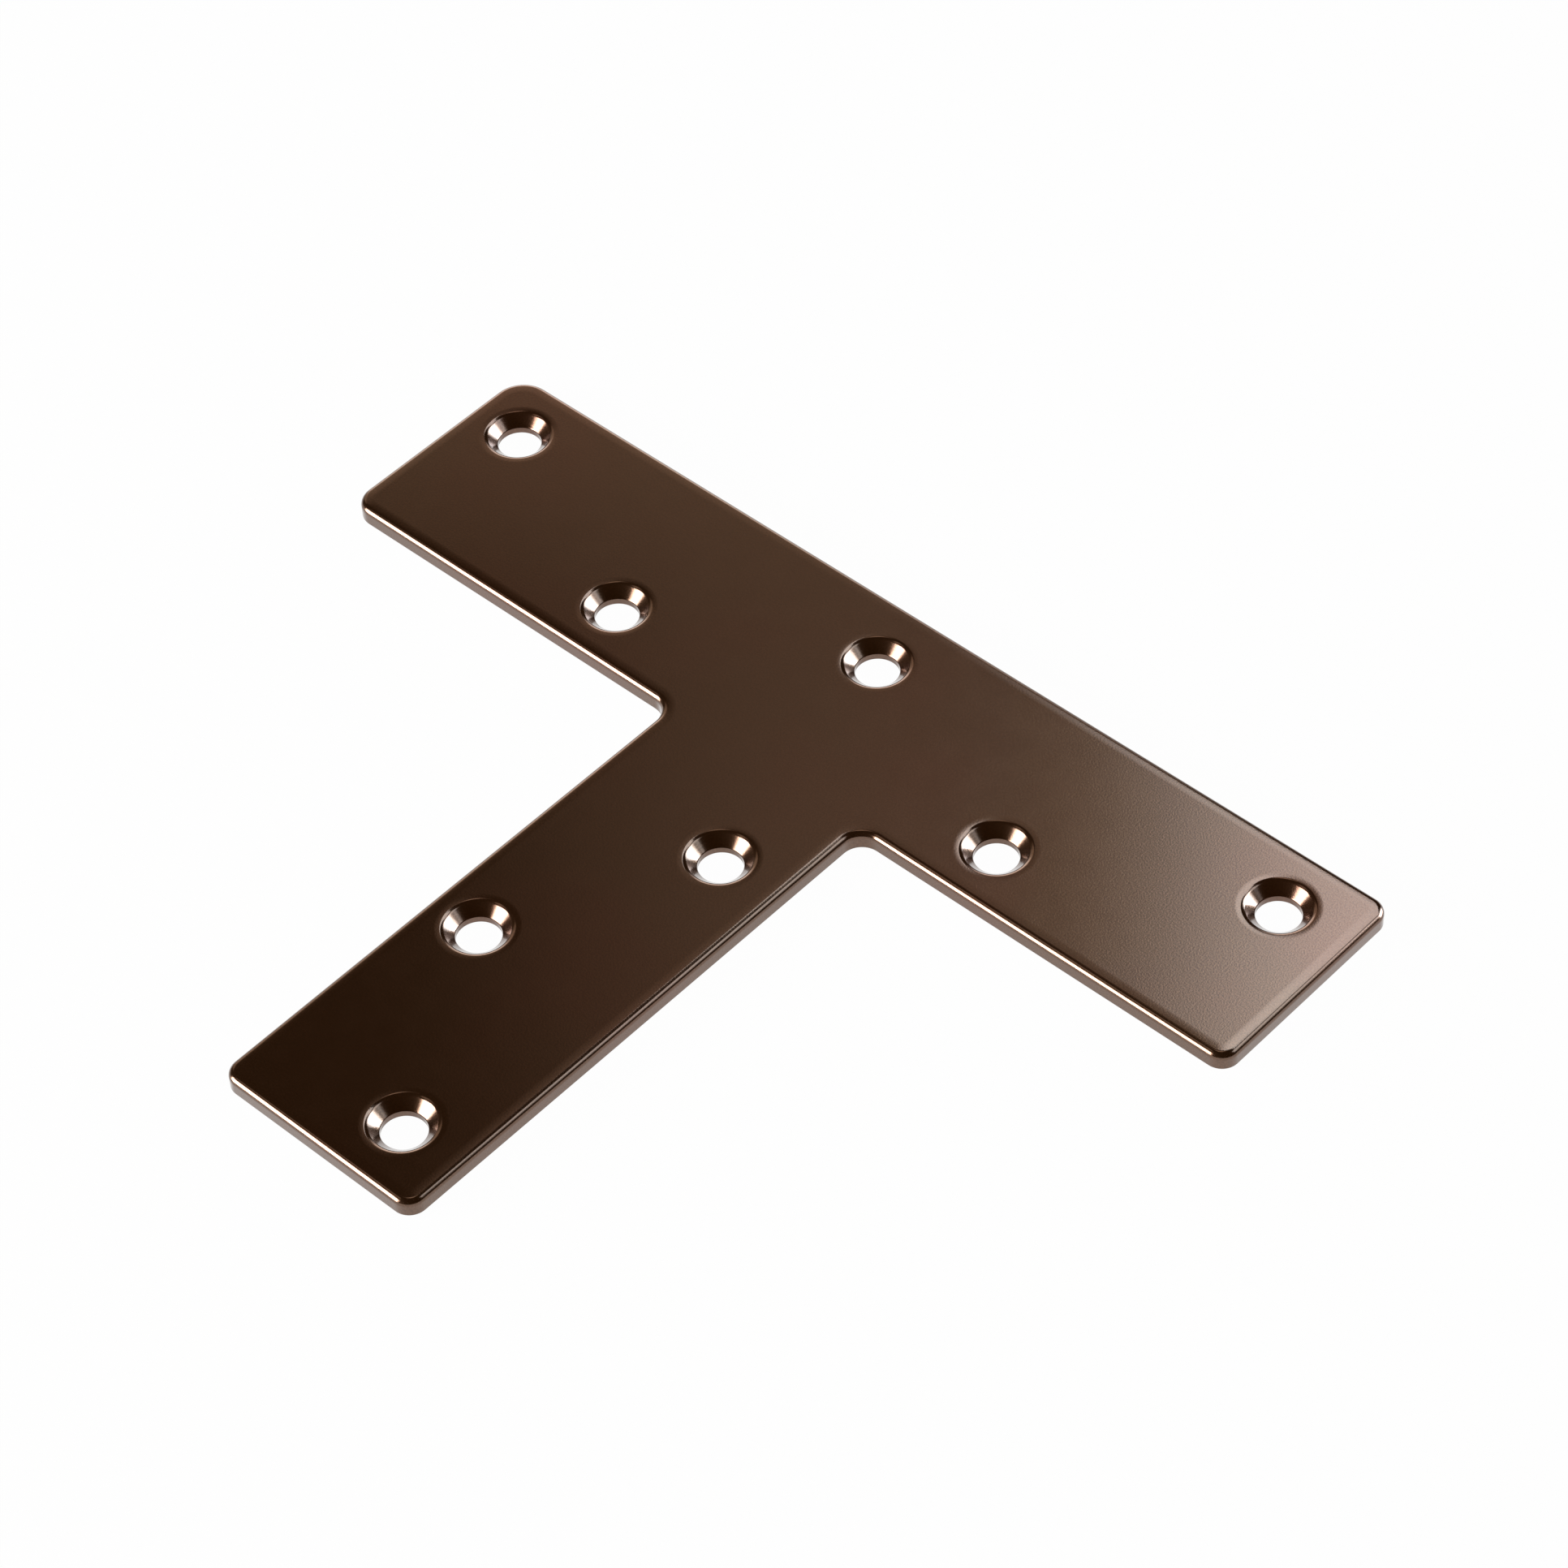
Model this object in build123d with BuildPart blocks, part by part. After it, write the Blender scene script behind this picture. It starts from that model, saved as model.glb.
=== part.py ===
from build123d import *
import os
from math import radians, tan

# Flat steel mending plate in the shape of a T, with countersunk screw holes.
# It lies on its back face: the crossbar runs along X with its long outer edge to +Y,
# the leg points to -Y, and the countersunk face looks up.
# The origin is under the middle of the plate's outer box. All lengths are in millimetres.

# Outline
bar_length = 120.0  # crossbar, end to end
bar_width = 26.2
leg_width = 26.0
plate_depth = 90.0  # crossbar's outer edge to the end of the leg
thickness = 2.0

# Corners of the outline; the corners at the crossbar's left end are worn rounder
corner_radius = 2.0
left_outer_radius = 3.6
left_inner_radius = 2.6
inner_corner_radius = 2.3

# Edges: the punch rolls the top edge over, the lower edge is only broken
top_edge_radius = 0.8
bottom_edge_break = 0.15

# Screw holes: a short straight land at the back face, then a cone with a soft lip
hole_radius = 2.35
land_height = 0.75
sink_angle = 90.0
lip_radius = 0.8

# Hole pattern, zigzag along both arms: distances from the edges to the hole centres
bar_left_margin = 6.7
bar_right_margin = 8.5
outer_margin = 7.2  # crossbar's end holes, from its outer edge
middle_margin = 7.8  # crossbar's middle hole, from the same edge
inner_margin = 6.8  # the holes between them, from the crossbar's inner edge
leg_first_margin = 12.0  # leg's first hole, from the crossbar's inner edge
leg_end_margin = 7.1
leg_right_margin = 7.9  # leg's first and last holes
leg_left_margin = 6.1  # leg's middle hole

outer_edge = plate_depth / 2
leg_end = -plate_depth / 2
inner_edge = outer_edge - bar_width
bar_line = outer_edge - bar_width / 2
sink_radius = hole_radius + (thickness - land_height) * tan(radians(sink_angle / 2))

bar_first_x = -bar_length / 2 + bar_left_margin
bar_pitch = (bar_length - bar_left_margin - bar_right_margin) / 4
bar_holes = [
    (bar_first_x, outer_edge - outer_margin),
    (bar_first_x + bar_pitch, inner_edge + inner_margin),
    (bar_first_x + 2 * bar_pitch, outer_edge - middle_margin),
    (bar_first_x + 3 * bar_pitch, inner_edge + inner_margin),
    (bar_first_x + 4 * bar_pitch, outer_edge - outer_margin),
]
leg_first_y = inner_edge - leg_first_margin
leg_pitch = (leg_first_y - leg_end - leg_end_margin) / 2
leg_holes = [
    (leg_width / 2 - leg_right_margin, leg_first_y),
    (-leg_width / 2 + leg_left_margin, leg_first_y - leg_pitch),
    (leg_width / 2 - leg_right_margin, leg_first_y - 2 * leg_pitch),
]


def corner(sketch, x, y):
    """The sketch's vertex nearest to a point."""
    return sketch.vertices().sort_by_distance((x, y))[0]


with BuildPart() as t_plate:
    with BuildSketch() as outline:
        with Locations((0, bar_line)):
            Rectangle(bar_length, bar_width)
        Rectangle(leg_width, plate_depth)
        for side in (-1, 1):
            fillet(corner(outline, side * leg_width / 2, inner_edge), inner_corner_radius)
            fillet(corner(outline, side * leg_width / 2, leg_end), corner_radius)
        fillet(corner(outline, bar_length / 2, outer_edge), corner_radius)
        fillet(corner(outline, bar_length / 2, inner_edge), corner_radius)
        fillet(corner(outline, -bar_length / 2, outer_edge), left_outer_radius)
        fillet(corner(outline, -bar_length / 2, inner_edge), left_inner_radius)
    extrude(amount=thickness)

    top_rim = t_plate.faces().sort_by(Axis.Z)[-1].outer_wire().edges()
    fillet(top_rim, top_edge_radius)
    bottom_rim = t_plate.faces().sort_by(Axis.Z)[0].outer_wire().edges()
    chamfer(bottom_rim, bottom_edge_break)

    with Locations(Plane.XY.offset(thickness)):
        with Locations(*bar_holes, *leg_holes):
            CounterSinkHole(hole_radius, sink_radius, counter_sink_angle=sink_angle)
    top_circles = t_plate.faces().sort_by(Axis.Z)[-1].edges().filter_by(GeomType.CIRCLE)
    lips = top_circles.filter_by(lambda e: abs(e.radius - sink_radius) < 0.01)
    fillet(lips, lip_radius)

t_plate.part.label = "t_plate"
t_plate.part.color = Color(0.17, 0.12, 0.09)

os.makedirs("parts", exist_ok=True)
export_step(t_plate.part, "parts/t_plate.step")
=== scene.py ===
from math import cos, pi, radians, sin, tan

import bmesh
import bpy
from bpy.props import FloatProperty, FloatVectorProperty, PointerProperty
from mathutils import Matrix, Vector


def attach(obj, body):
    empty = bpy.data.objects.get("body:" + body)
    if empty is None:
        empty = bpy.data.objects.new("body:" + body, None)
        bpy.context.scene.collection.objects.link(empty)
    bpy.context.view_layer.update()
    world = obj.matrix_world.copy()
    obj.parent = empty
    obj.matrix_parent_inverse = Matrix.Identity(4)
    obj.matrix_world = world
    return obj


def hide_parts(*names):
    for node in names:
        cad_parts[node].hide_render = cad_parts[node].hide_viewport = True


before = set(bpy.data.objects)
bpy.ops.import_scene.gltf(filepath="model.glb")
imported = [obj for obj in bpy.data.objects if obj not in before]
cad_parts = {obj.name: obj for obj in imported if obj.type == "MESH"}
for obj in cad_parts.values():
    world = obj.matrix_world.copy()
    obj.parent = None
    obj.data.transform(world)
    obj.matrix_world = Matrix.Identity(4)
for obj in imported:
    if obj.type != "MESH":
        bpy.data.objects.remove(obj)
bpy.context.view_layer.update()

bl_info = {
    "name": "T-shaped mending plate",
    "version": (1, 0, 0),
    "blender": (4, 5, 0),
    "location": "3D View > Sidebar > Mending Plate",
    "description": "Makes a lacquered steel mending plate in the shape of a T, and a stage for it",
    "category": "Add Mesh",
}

MM = 0.001

# How finely the rounded parts are divided
CORNER_STEPS = 14
ROLL_STEPS = 14
LIP_STEPS = 10
SMALL_STEPS = 3
HOLE_STEPS = 112

# Width of the narrow face loop that keeps a flat face flat where it meets a rounded one
GUARD = 0.06 * MM

# Closer than the first, two places share a height or a line; than the second, they are one
SAME_LEVEL = MM * 1e-3
SAME_PLACE = MM * 1e-4

# Only the flat top and the flat back are faces with more corners than this
CAP_CORNERS = 8

# The lacquer's warm patches: their size, the part of the noise that makes them, their strength
PATCH_SIZE = 26 * MM
PATCH_RANGE = (0.45, 0.7)
PATCH_SHARE = 0.7

# The part of the fine noise that makes the flakes
FLAKE_RANGE = (0.3, 0.7)

# Height of a face's normal, from a steep wall to the level top
WALL_RANGE = (0.7, 0.97)

# Roughness: the size and swing of its drift over the plate, what a wall adds, the clear coat's
DRIFT_SIZE = 3 * MM
DRIFT = 0.06
WALL_ROUGHNESS = 0.06
COAT_ROUGHNESS = 0.1

# The floor: its reach from the middle in metres, how far it lies under the plate, so that the
# two never share a plane, and how white it shows, where the rest is its colour in the light
FLOOR_REACH = 4.0
FLOOR_GAP = 0.04 * MM
FLOOR_WHITENESS = 0.985

WHITE = (1.0, 1.0, 1.0, 1.0)

# Tints of the lamps, and their distance from the plate in metres
COOL = (0.8, 1.0, 1.16)
PLAIN = (1.0, 1.0, 1.0)
WARM = (1.0, 0.84, 0.66)
SOFT_WARM = (1.0, 0.88, 0.74)
LAMP_DISTANCE = 1.5

# Softboxes that show in the gloss, and one that lights the rest: name, direction (0 off the
# leg's end, 90 off the crossbar's right end), width, lower edge and upper edge in degrees as
# seen from the plate, radiance, tint, and the share over which the light fades at each edge
GLOSS_BOXES = (
    ("back_panel", 184.5, 68, 45, 62, 3.5, COOL, 0.13),
    ("right_panel", 130, 44, 20, 56, 2.6, COOL, 0.3),
    ("back_low_box", 153, 50, -14, 42, 15.0, COOL, 0.35),
    ("front_left_box", -36, 54, -12, 40, 21.0, PLAIN, 0.3),
    ("back_left_card", -122, 66, -6, 46.5, 0.62, WARM, 0.3),
    ("back_glow_card", -134, 52, -4, 34, 2.0, PLAIN, 0.3),
    ("back_top_card", -141, 28, 30, 64, 0.34, SOFT_WARM, 0.4),
    ("front_top_card", -52, 50, 46, 66, 0.6, SOFT_WARM, 0.3),
    ("top_card", -136, 60, 62, 82, 1.2, SOFT_WARM, 0.3),
)
KEY_BOX = ("key_box", -36, 50, 6, 22, 34.0, PLAIN, 0.1)

# The camera: place in metres, turn in degrees, sensor and lens in millimetres, clipping
CAMERA_PLACE = (0.2465981, -0.2291337, 0.3774311)
CAMERA_TURN = (42.70462, 2.07909, 42.2701)
CAMERA_SENSOR = 36.0
CAMERA_LENS = 116.05
CAMERA_CLIP = (0.01, 10.0)


def length(name, description, default):
    """A size in metres that the sidebar shows with its unit."""
    return FloatProperty(
        name=name, description=description, default=default, min=0.0,
        unit="LENGTH", subtype="DISTANCE", precision=5,
    )


def share(name, description, default):
    """A number from 0 to 1."""
    return FloatProperty(
        name=name, description=description, default=default, min=0.0, max=1.0,
        subtype="FACTOR",
    )


def colour(name, description, default):
    """A linear colour."""
    return FloatVectorProperty(
        name=name, description=description, default=default, min=0.0, max=1.0,
        size=3, subtype="COLOR",
    )


class PlateSizes(bpy.types.PropertyGroup):
    """Sizes of the plate: outline, edges, holes and hole pattern."""

    bar_length: length("Crossbar length", "Crossbar, end to end", 120 * MM)
    bar_width: length("Crossbar width", "Width of the crossbar", 26.2 * MM)
    leg_width: length("Leg width", "Width of the leg", 26 * MM)
    plate_depth: length("Depth", "Crossbar's outer edge to the end of the leg", 90 * MM)
    thickness: length("Thickness", "Thickness of the steel with its lacquer", 2 * MM)

    corner_radius: length("Corners", "Radius of the outer corners", 2 * MM)
    left_outer_radius: length("Left outer corner", "Crossbar's far left corner", 3.6 * MM)
    left_inner_radius: length("Left inner corner", "Crossbar's near left corner", 2.6 * MM)
    inner_corner_radius: length("Inner corners", "Where the leg meets the crossbar", 2.3 * MM)

    shoulder_width: length("Shoulder", "From the outline to where the top starts to sink",
                           1.15 * MM)
    shoulder_drop: length("Shoulder drop", "How far the top sinks to the outline", 0.06 * MM)
    shoulder_blend: length("Shoulder blend", "Soft bend between top and shoulder", 0.42 * MM)
    top_edge_roll: length("Top edge", "Roll between shoulder and side", 0.68 * MM)
    bottom_edge_break: length("Bottom edge", "Broken edge round the back", 0.05 * MM)

    hole_radius: length("Hole radius", "Radius of the screw holes", 2.35 * MM)
    land_height: length("Land", "Straight part of a hole, at the back", 0.75 * MM)
    sink_angle: FloatProperty(
        name="Countersink", description="Full angle of the countersinks",
        default=radians(90), min=radians(60), max=radians(120), subtype="ANGLE",
    )
    lip_width: length("Lip", "From a countersink to where the top starts to sink", 0.55 * MM)
    lip_drop: length("Lip drop", "How far the top sinks to a countersink", 0.035 * MM)
    lip_blend: length("Lip blend", "Soft bend between top and lip", 0.28 * MM)
    lip_roll: length("Lip roll", "Roll between lip and countersink", 0.26 * MM)
    hole_edge: length("Hole edges", "Small roll of a hole's other edges", 0.08 * MM)

    bar_left_margin: length("Left end margin", "First hole from the left end", 6.7 * MM)
    bar_right_margin: length("Right end margin", "Last hole from the right end", 8.5 * MM)
    outer_margin: length("Outer margin", "End holes from the outer edge", 7.2 * MM)
    middle_margin: length("Middle margin", "Middle hole from the outer edge", 7.8 * MM)
    inner_margin: length("Inner margin", "Holes between, from the inner edge", 6.8 * MM)
    leg_first_margin: length("First leg hole", "From the crossbar's inner edge", 12 * MM)
    leg_end_margin: length("Last leg hole", "From the end of the leg", 7.1 * MM)
    leg_right_margin: length("Leg right margin", "First and last leg holes", 7.9 * MM)
    leg_left_margin: length("Leg left margin", "Middle leg hole", 6.1 * MM)


class LacquerFinish(bpy.types.PropertyGroup):
    """Colours and texture of the bronze lacquer."""

    brown: colour("Brown", "Main colour of the lacquer", (0.115, 0.061, 0.035))
    red_brown: colour("Red brown", "Colour of the warmer patches", (0.13, 0.056, 0.034))
    copper: colour("Copper", "Colour of the fine flakes", (0.21, 0.11, 0.065))
    flakes: share("Flakes", "How much the flakes show", 0.4)
    metallic: share("Metallic", "Metal effect of the lacquer", 0.95)
    roughness: share("Roughness", "Roughness of the lacquer", 0.115)
    coat: share("Clear coat", "Clear coat over the colour", 0.8)
    grain_size: length("Grain size", "Pitch of the fine texture", 0.2 * MM)
    grain_depth: length("Grain depth", "Depth of the fine texture", 0.004 * MM)
    wall_grain: FloatProperty(
        name="Wall grain", description="How much deeper the fine texture is on walls",
        default=0.3, min=0.0, max=10.0,
    )


class StageLook(bpy.types.PropertyGroup):
    """Colours and light of the stage."""

    floor: colour("Floor", "Colour of the floor", (0.85, 0.85, 0.85))
    room: colour("Room", "Colour of the dim room", (1.0, 0.55, 0.2))
    ambient: share("Room light", "Brightness of the room", 0.075)


def edge_lines(s):
    """Y of the crossbar's outer edge, of its inner edge and of the leg's end."""
    outer_edge = s.plate_depth / 2
    return outer_edge, outer_edge - s.bar_width, -outer_edge


def hole_places(s):
    """Centres of the eight screw holes, zigzag along both arms."""
    outer_edge, inner_edge, leg_end = edge_lines(s)
    rows = [
        outer_edge - s.outer_margin,
        inner_edge + s.inner_margin,
        outer_edge - s.middle_margin,
        inner_edge + s.inner_margin,
        outer_edge - s.outer_margin,
    ]
    first = -s.bar_length / 2 + s.bar_left_margin
    pitch = (s.bar_length - s.bar_left_margin - s.bar_right_margin) / (len(rows) - 1)
    places = [(first + i * pitch, y) for i, y in enumerate(rows)]
    top = inner_edge - s.leg_first_margin
    last = leg_end + s.leg_end_margin
    right = s.leg_width / 2 - s.leg_right_margin
    left = -s.leg_width / 2 + s.leg_left_margin
    return places + [(right, top), (left, (top + last) / 2), (right, last)]


def nearest(bm, x, y):
    """The vertex nearest to a place on the back."""
    return min(bm.verts, key=lambda v: (v.co - Vector((x, y, 0.0))).length)


def edges_at(bm, axis, level):
    """The edges that lie at one level of an axis."""
    return [e for e in bm.edges
            if all(abs(getattr(v.co, axis) - level) < SAME_LEVEL for v in e.verts)]


def round_off(bm, geom, radius, steps, affect):
    """Rounds vertices or edges off."""
    bmesh.ops.bevel(bm, geom=geom, offset=radius, offset_type="OFFSET", segments=steps,
                    profile=0.5, affect=affect, material=-1)


def flat_outline(bm, s):
    """The T as one flat face on the back's plane, with its corners rounded."""
    outer_edge, inner_edge, leg_end = edge_lines(s)
    half_bar, half_leg = s.bar_length / 2, s.leg_width / 2

    # A square with sides of 1, stretched to the crossbar and moved to its place
    bmesh.ops.create_grid(bm, x_segments=1, y_segments=1, size=0.5)
    bmesh.ops.scale(bm, vec=(s.bar_length, s.bar_width, 1.0), verts=bm.verts)
    bmesh.ops.translate(bm, vec=(0.0, outer_edge - s.bar_width / 2, 0.0), verts=bm.verts)

    # The crossbar's inner edge is cut in three, and the leg grows from the middle third
    bmesh.ops.subdivide_edges(bm, edges=edges_at(bm, "y", inner_edge), cuts=2)
    for side in (-1, 1):
        root = nearest(bm, side * s.bar_length / 6, inner_edge)
        root.co.x = side * half_leg
    joint = bm.edges.get([nearest(bm, -half_leg, inner_edge), nearest(bm, half_leg, inner_edge)])
    leg = bmesh.ops.extrude_edge_only(bm, edges=[joint])["geom"]
    leg_verts = [g for g in leg if isinstance(g, bmesh.types.BMVert)]
    bmesh.ops.translate(bm, vec=(0.0, leg_end - inner_edge, 0.0), verts=leg_verts)
    bmesh.ops.dissolve_edges(bm, edges=[joint], use_verts=False)

    corners = [
        (-half_bar, outer_edge, s.left_outer_radius),
        (-half_bar, inner_edge, s.left_inner_radius),
        (half_bar, outer_edge, s.corner_radius),
        (half_bar, inner_edge, s.corner_radius),
    ]
    for side in (-1, 1):
        corners.append((side * half_leg, inner_edge, s.inner_corner_radius))
        corners.append((side * half_leg, leg_end, s.corner_radius))
    for x, y, radius in corners:
        round_off(bm, [nearest(bm, x, y)], radius, CORNER_STEPS, "VERTICES")


def rolled_slab(bm, s):
    """The outline given its thickness, its top edge rolled and its lower edge broken."""
    made = bmesh.ops.extrude_face_region(bm, geom=bm.faces[:])["geom"]
    lifted = [g for g in made if isinstance(g, bmesh.types.BMVert)]
    bmesh.ops.translate(bm, vec=(0.0, 0.0, s.thickness), verts=lifted)
    bmesh.ops.recalc_face_normals(bm, faces=bm.faces)

    # The top keeps its height inside the shoulder and sinks a little at the outline
    top = [f for f in bm.faces if f.normal.z > 0.5]
    bmesh.ops.inset_region(bm, faces=top, thickness=s.shoulder_width, use_even_offset=True)
    flat = {v for f in top for v in f.verts}
    outline = [v for v in bm.verts
               if abs(v.co.z - s.thickness) < SAME_LEVEL and v not in flat]
    bmesh.ops.translate(bm, vec=(0.0, 0.0, -s.shoulder_drop), verts=outline)

    edge_height = s.thickness - s.shoulder_drop
    rims = [
        (s.thickness, s.shoulder_blend, LIP_STEPS),
        (edge_height, s.top_edge_roll, ROLL_STEPS),
        (0.0, s.bottom_edge_break, SMALL_STEPS),
    ]
    for height, radius, steps in rims:
        round_off(bm, edges_at(bm, "z", height), radius, steps, "EDGES")

    # The flat top and back open up for the holes, and narrow loops guard what stays flat
    caps = [f for f in bm.faces if len(f.verts) > CAP_CORNERS]
    bmesh.ops.inset_region(bm, faces=caps, thickness=GUARD, use_even_offset=True)
    bmesh.ops.delete(bm, geom=caps, context="FACES_ONLY")
    for height in (edge_height - s.top_edge_roll - GUARD, s.bottom_edge_break + GUARD):
        bmesh.ops.bisect_plane(bm, geom=bm.verts[:] + bm.edges[:] + bm.faces[:],
                               plane_co=(0.0, 0.0, height), plane_no=(0.0, 0.0, 1.0))


def hole_wall(bm, s, x, y):
    """The wall of one hole: lip, countersink and land, turned from a profile."""
    half = s.sink_angle / 2
    slope = Vector((sin(half), 0.0, cos(half)))
    along = Vector((1.0, 0.0, 0.0))
    upward = Vector((0.0, 0.0, 1.0))
    land_corner = Vector((s.hole_radius, 0.0, s.land_height))
    lip_corner = land_corner + slope * ((s.thickness - s.lip_drop - s.land_height) / cos(half))
    dip_corner = Vector((lip_corner.x + s.lip_width, 0.0, s.thickness))
    back_corner = Vector((s.hole_radius, 0.0, 0.0))
    clear = s.hole_edge + GUARD

    # From the flat top to the flat back: each point with its rounding's radius and steps
    profile = [
        (dip_corner + along * (s.lip_blend + GUARD), 0.0, 0),
        (dip_corner, s.lip_blend, LIP_STEPS),
        (lip_corner, s.lip_roll, LIP_STEPS),
        (lip_corner - slope * (s.lip_roll + GUARD), 0.0, 0),
        (land_corner + slope * clear, 0.0, 0),
        (land_corner, s.hole_edge, SMALL_STEPS),
        (land_corner - upward * clear, 0.0, 0),
        (back_corner + upward * clear, 0.0, 0),
        (back_corner, s.hole_edge, SMALL_STEPS),
        (back_corner + along * clear, 0.0, 0),
    ]
    centre = Vector((x, y, 0.0))
    verts = [bm.verts.new(point + centre) for point, _, _ in profile]
    for a, b in zip(verts, verts[1:]):
        bm.edges.new((a, b))
    for vert, (_, radius, steps) in zip(verts, profile):
        if steps:
            round_off(bm, [vert], radius, steps, "VERTICES")

    strand = [e for e in bm.edges if not e.link_faces]
    strand_verts = list({v for e in strand for v in e.verts})
    bmesh.ops.spin(bm, geom=strand_verts + strand, cent=centre, axis=(0.0, 0.0, 1.0),
                   dvec=(0.0, 0.0, 0.0), angle=2 * pi, steps=HOLE_STEPS,
                   use_merge=True, use_duplicate=False)


def plate_mesh(s):
    """The whole plate as one closed mesh."""
    bm = bmesh.new()
    flat_outline(bm, s)
    rolled_slab(bm, s)
    for x, y in hole_places(s):
        hole_wall(bm, s, x, y)
    bmesh.ops.remove_doubles(bm, verts=bm.verts, dist=SAME_PLACE)

    # The flat top and back are filled between the outline and the holes
    for height, up in ((s.thickness, 1.0), (0.0, -1.0)):
        rims = [e for e in edges_at(bm, "z", height) if e.is_boundary]
        bmesh.ops.triangle_fill(bm, edges=rims, use_beauty=True, use_dissolve=False,
                                normal=(0.0, 0.0, up))
    bmesh.ops.recalc_face_normals(bm, faces=bm.faces)
    open_edges = [e for e in bm.edges if not e.is_manifold]
    if open_edges:
        raise RuntimeError(f"the plate has {len(open_edges)} open edges")
    for face in bm.faces:
        face.smooth = True
    mesh = bpy.data.meshes.new("lacquered_plate")
    bm.to_mesh(mesh)
    bm.free()
    return mesh


class Amount:
    """A number on a node's socket that can be used in arithmetic."""

    def __init__(self, paint, socket):
        self.paint = paint
        self.socket = socket

    def _with(self, operation, first, second):
        return self.paint.amount("ShaderNodeMath", {"operation": operation},
                                 {0: first, 1: second})

    def __add__(self, other):
        return self._with("ADD", self, other)

    def __radd__(self, other):
        return self._with("ADD", other, self)

    def __sub__(self, other):
        return self._with("SUBTRACT", self, other)

    def __rsub__(self, other):
        return self._with("SUBTRACT", other, self)

    def __mul__(self, other):
        return self._with("MULTIPLY", self, other)

    def __rmul__(self, other):
        return self._with("MULTIPLY", other, self)


class Paint:
    """The nodes of a material, a lamp or the world, added one by one."""

    def __init__(self, owner):
        owner.use_nodes = True
        self.tree = owner.node_tree
        self.tree.nodes.clear()

    def add(self, kind, settings, inputs):
        """A node with its settings made first, then its sockets' values or links."""
        node = self.tree.nodes.new(kind)
        for name, value in settings.items():
            setattr(node, name, value)
        for name, value in inputs.items():
            socket = node.inputs[name]
            if isinstance(value, Amount):
                self.tree.links.new(value.socket, socket)
            elif isinstance(value, bpy.types.NodeSocket):
                self.tree.links.new(value, socket)
            else:
                socket.default_value = value
        return node

    def amount(self, kind, settings, inputs, output=0):
        """A new node's output as a number for arithmetic."""
        return Amount(self, self.add(kind, settings, inputs).outputs[output])

    def step(self, value, low, high):
        """A soft step from 0 to 1 while a value goes from low to high."""
        return self.amount("ShaderNodeMapRange",
                           {"clamp": True, "interpolation_type": "SMOOTHSTEP"},
                           {"Value": value, "From Min": low, "From Max": high})

    def blend(self, factor, first, second):
        """The first shader where the factor is 0, the second where it is 1."""
        node = self.add("ShaderNodeMixShader", {}, {0: factor, 1: first, 2: second})
        return node.outputs["Shader"]


def bronze_lacquer(look):
    """Dark bronze lacquer with a fine grain, warm patches and copper flakes."""
    material = bpy.data.materials.new("bronze_lacquer")
    paint = Paint(material)
    place = paint.add("ShaderNodeTexCoord", {}, {}).outputs["Object"]

    def noise(size, detail):
        return paint.amount("ShaderNodeTexNoise", {"noise_dimensions": "3D"},
                            {"Vector": place, "Scale": 1 / size, "Detail": detail})

    def mix(factor, first, second):
        node = paint.add("ShaderNodeMix", {"data_type": "RGBA"},
                         {"Factor": factor, "A": first, "B": second})
        return node.outputs["Result"]

    patches = paint.step(noise(PATCH_SIZE, detail=1.5), *PATCH_RANGE)
    flakes = paint.step(noise(look.grain_size, detail=2.0), *FLAKE_RANGE)
    base = mix(patches * PATCH_SHARE, (*look.brown, 1.0), (*look.red_brown, 1.0))
    base = mix(flakes * look.flakes, base, (*look.copper, 1.0))

    facing = paint.add("ShaderNodeNewGeometry", {}, {}).outputs["Normal"]
    upright = paint.amount("ShaderNodeSeparateXYZ", {}, {0: facing}, "Z")
    slant = 1 - paint.step(upright, *WALL_RANGE)

    grain = noise(look.grain_size, detail=1.5) * (1 + slant * look.wall_grain)
    bump = paint.add("ShaderNodeBump", {}, {
        "Strength": 1.0,
        "Distance": look.grain_depth,
        "Height": grain,
    })
    drift = noise(DRIFT_SIZE, detail=3.0) * DRIFT
    rough = drift + slant * WALL_ROUGHNESS + (look.roughness - DRIFT / 2)

    shader = paint.add("ShaderNodeBsdfPrincipled", {}, {
        "Base Color": base,
        "Metallic": look.metallic,
        "Roughness": rough,
        "Coat Weight": look.coat,
        "Coat Roughness": COAT_ROUGHNESS,
        "Normal": bump.outputs["Normal"],
    })
    paint.add("ShaderNodeOutputMaterial", {}, {"Surface": shader.outputs["BSDF"]})
    return material


def pale_floor(look):
    """White to the camera and in gloss, with a faint shadow, and clear from below."""
    material = bpy.data.materials.new("pale_floor")
    paint = Paint(material)
    rays = paint.add("ShaderNodeLightPath", {}, {}).outputs
    seen = Amount(paint, rays["Is Camera Ray"])
    mirrored = Amount(paint, rays["Is Glossy Ray"])
    through = Amount(paint, rays["Is Transmission Ray"])
    lit = paint.add("ShaderNodeBsdfDiffuse", {}, {"Color": (*look.floor, 1.0)})
    white = paint.add("ShaderNodeEmission", {}, {"Color": WHITE, "Strength": 1.0})
    above = paint.blend((seen + mirrored + through) * FLOOR_WHITENESS,
                        lit.outputs["BSDF"], white.outputs["Emission"])
    below = paint.add("ShaderNodeNewGeometry", {}, {}).outputs["Backfacing"]
    clear = paint.add("ShaderNodeBsdfTransparent", {}, {}).outputs["BSDF"]
    surface = paint.blend(below, above, clear)
    paint.add("ShaderNodeOutputMaterial", {}, {"Surface": surface})
    return material


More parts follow.
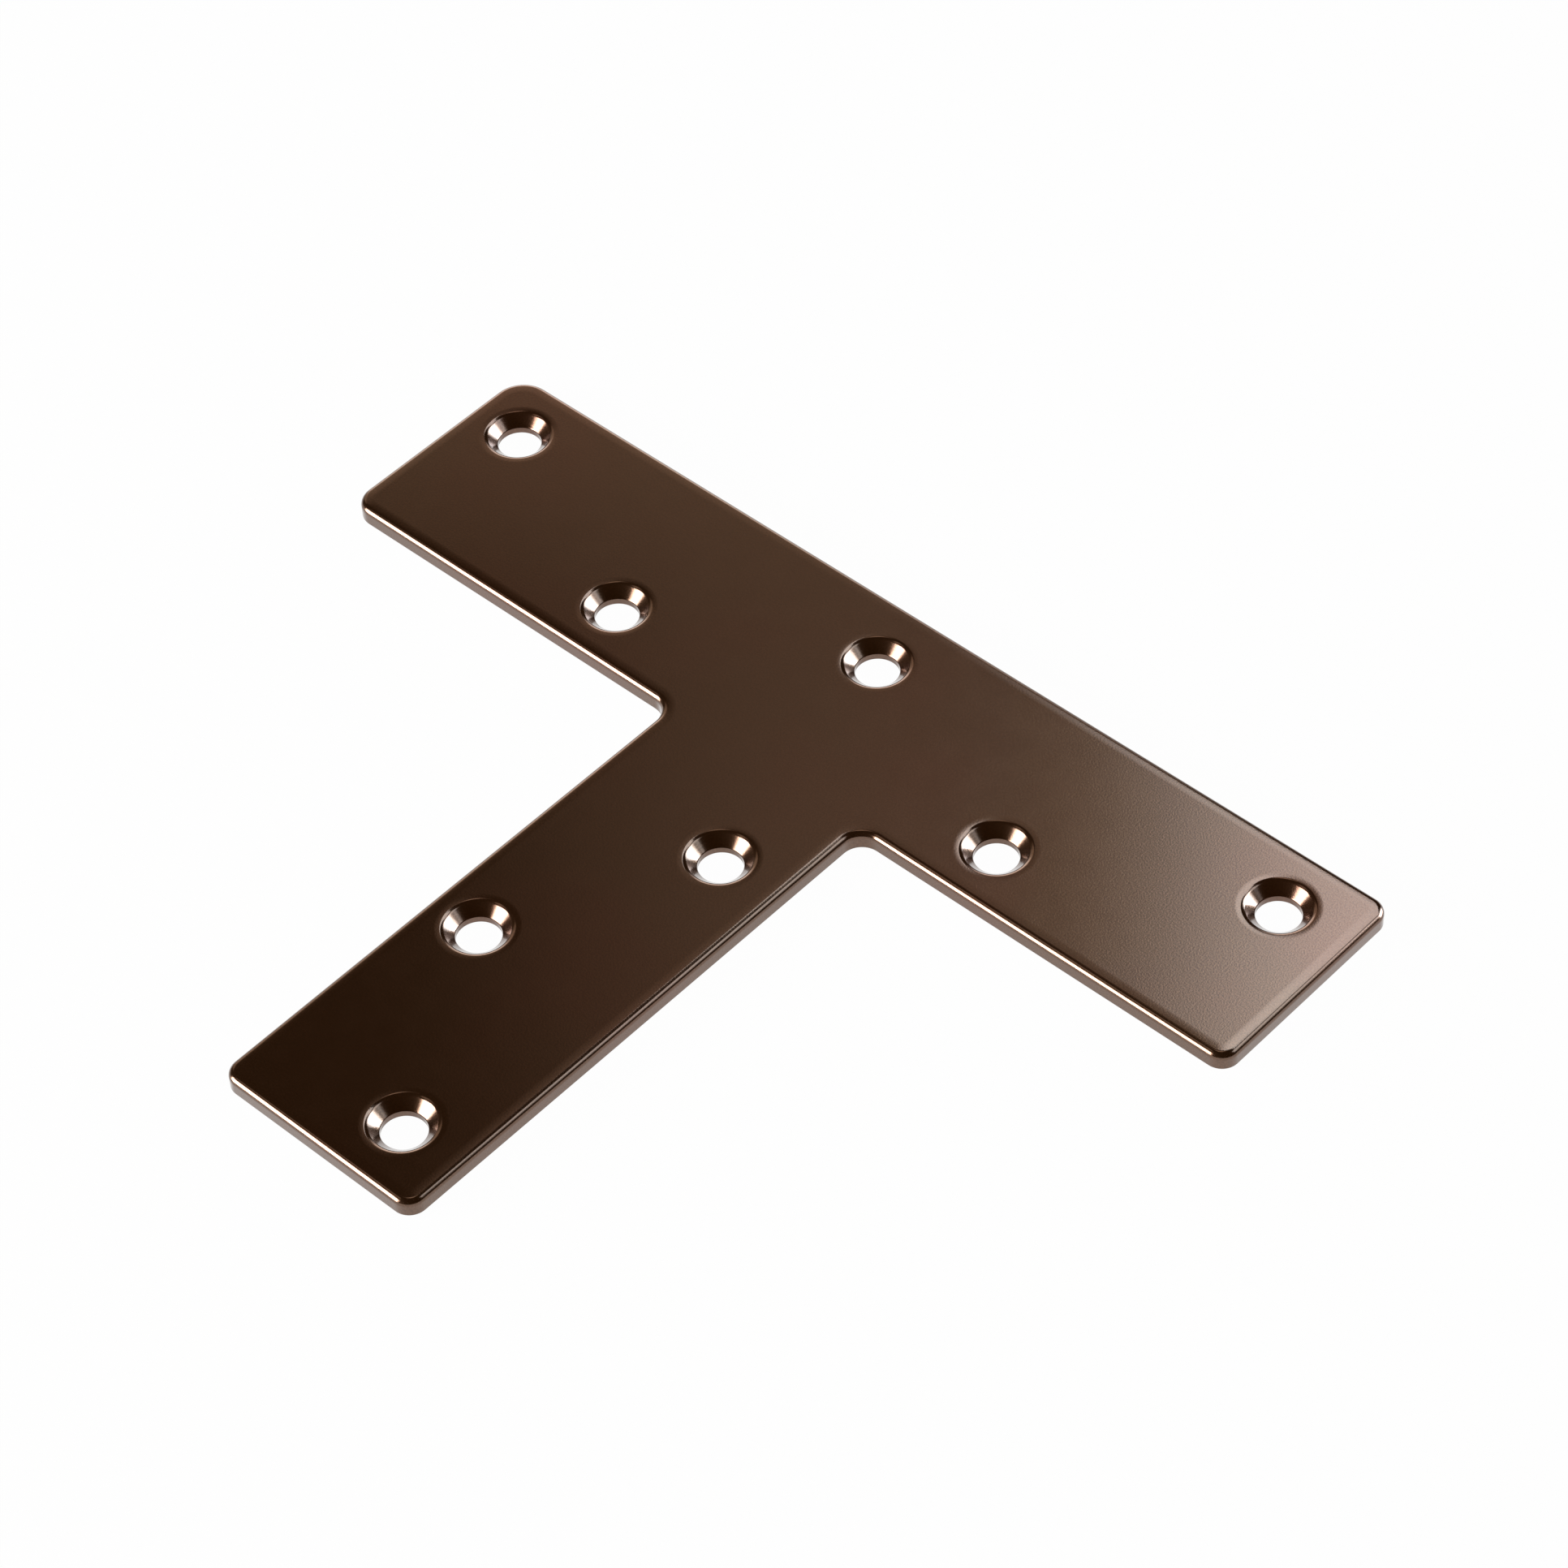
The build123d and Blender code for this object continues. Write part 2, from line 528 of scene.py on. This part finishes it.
def stage_floor(look):
    """A wide flat floor just under the plate."""
    bm = bmesh.new()
    bmesh.ops.create_grid(bm, x_segments=1, y_segments=1, size=FLOOR_REACH)
    mesh = bpy.data.meshes.new("floor")
    bm.to_mesh(mesh)
    bm.free()
    mesh.materials.append(pale_floor(look))
    floor = bpy.data.objects.new("floor", mesh)
    floor.location.z = -FLOOR_GAP
    bpy.context.scene.collection.objects.link(floor)
    return floor


def room(look):
    """A world that is white to the camera and a dim room to the plate."""
    world = bpy.data.worlds.new("room")
    paint = Paint(world)
    seen = paint.add("ShaderNodeLightPath", {}, {}).outputs["Is Camera Ray"]
    dim = paint.add("ShaderNodeBackground", {}, {
        "Color": (*look.room, 1.0),
        "Strength": look.ambient,
    })
    white = paint.add("ShaderNodeBackground", {}, {"Color": WHITE, "Strength": 1.0})
    surface = paint.blend(seen, dim.outputs["Background"], white.outputs["Background"])
    paint.add("ShaderNodeOutputWorld", {}, {"Surface": surface})
    bpy.context.scene.world = world


def fade_to_edges(lamp, fade):
    """Makes a rectangular lamp's light fade towards its four edges."""
    paint = Paint(lamp)
    place = paint.add("ShaderNodeNewGeometry", {}, {}).outputs["Parametric"]
    sides = paint.add("ShaderNodeSeparateXYZ", {}, {0: place}).outputs
    strength = 1.0
    for side in (0, 1):
        across = Amount(paint, sides[side])
        for inward in (across, 1 - across):
            strength = paint.step(inward, 0.0, fade) * strength
    light = paint.add("ShaderNodeEmission", {}, {"Strength": strength})
    paint.add("ShaderNodeOutputLight", {}, {"Surface": light.outputs["Emission"]})


def softbox(name, azimuth, width, low, high, radiance, tint, fade, lights):
    """A standing lamp that lights the glossy or the diffuse part of what it shines on."""
    lamp = bpy.data.lights.new(name, "AREA")
    lamp.shape = "RECTANGLE"
    foot, head = (LAMP_DISTANCE * tan(radians(angle)) for angle in (low, high))
    lamp.size = 2 * LAMP_DISTANCE * tan(radians(width / 2))
    lamp.size_y = head - foot
    # A lamp's power is its radiance times its area times pi
    lamp.energy = radiance * lamp.size * lamp.size_y * pi
    lamp.color = tint
    fade_to_edges(lamp, fade)
    turn = Matrix.Rotation(radians(azimuth), 4, "Z") @ Matrix.Rotation(radians(90), 4, "X")
    holder = bpy.data.objects.new(name, lamp)
    holder.matrix_world = turn @ Matrix.Translation((0.0, (foot + head) / 2, LAMP_DISTANCE))
    holder.visible_camera = False
    holder.visible_diffuse = lights == "diffuse"
    holder.visible_glossy = lights == "glossy"
    bpy.context.scene.collection.objects.link(holder)


def photo_camera():
    """The camera, at the photo's angle and distance."""
    camera = bpy.data.cameras.new("camera")
    camera.sensor_width = CAMERA_SENSOR
    camera.lens = CAMERA_LENS
    camera.clip_start, camera.clip_end = CAMERA_CLIP
    holder = bpy.data.objects.new("camera", camera)
    holder.location = CAMERA_PLACE
    holder.rotation_euler = [radians(angle) for angle in CAMERA_TURN]
    bpy.context.scene.collection.objects.link(holder)
    return holder


class PLATE_OT_build(bpy.types.Operator):
    """Make the lacquered plate with its eight countersunk holes"""

    bl_idname = "mending_plate.build"
    bl_label = "Mending plate"

    def execute(self, context):
        mesh = plate_mesh(context.scene.plate_sizes)
        mesh.materials.append(bronze_lacquer(context.scene.plate_finish))
        piece = bpy.data.objects.new("lacquered_plate", mesh)
        context.scene.collection.objects.link(piece)
        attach(piece, "root")
        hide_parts("t_plate")
        return {"FINISHED"}


class PLATE_OT_stage(bpy.types.Operator):
    """Make the floor, the light and the camera"""

    bl_idname = "mending_plate.stage"
    bl_label = "Stage"

    def execute(self, context):
        look = context.scene.plate_stage
        floor = stage_floor(look)
        room(look)
        for box in GLOSS_BOXES:
            softbox(*box, "glossy")
        softbox(*KEY_BOX, "diffuse")
        context.scene.camera = photo_camera()
        context.scene.view_settings.view_transform = "Standard"
        return {"FINISHED"}


class PLATE_PT_sidebar(bpy.types.Panel):
    """Lists what can be made"""

    bl_idname = "PLATE_PT_sidebar"
    bl_label = "Mending Plate"
    bl_space_type = "VIEW_3D"
    bl_region_type = "UI"
    bl_category = "Mending Plate"

    def draw(self, context):
        scene = context.scene
        for group, operator in ((scene.plate_sizes, None),
                                (scene.plate_finish, PLATE_OT_build.bl_idname),
                                (scene.plate_stage, PLATE_OT_stage.bl_idname)):
            column = self.layout.column(align=True)
            for name in group.__annotations__:
                column.prop(group, name)
            if operator:
                self.layout.operator(operator)


CLASSES = (PlateSizes, LacquerFinish, StageLook, PLATE_OT_build, PLATE_OT_stage, PLATE_PT_sidebar)


def register():
    """Adds the classes, and the sizes, the finish and the stage's look to the scene."""
    for kind in CLASSES:
        bpy.utils.register_class(kind)
    bpy.types.Scene.plate_sizes = PointerProperty(type=PlateSizes)
    bpy.types.Scene.plate_finish = PointerProperty(type=LacquerFinish)
    bpy.types.Scene.plate_stage = PointerProperty(type=StageLook)


def unregister():
    """Takes away what register adds."""
    for name in ("plate_sizes", "plate_finish", "plate_stage"):
        delattr(bpy.types.Scene, name)
    for kind in reversed(CLASSES):
        bpy.utils.unregister_class(kind)


def main():
    """Makes the plate and its stage."""
    register()
    bpy.ops.mending_plate.build()
    bpy.ops.mending_plate.stage()


if __name__ == "__main__":
    main()
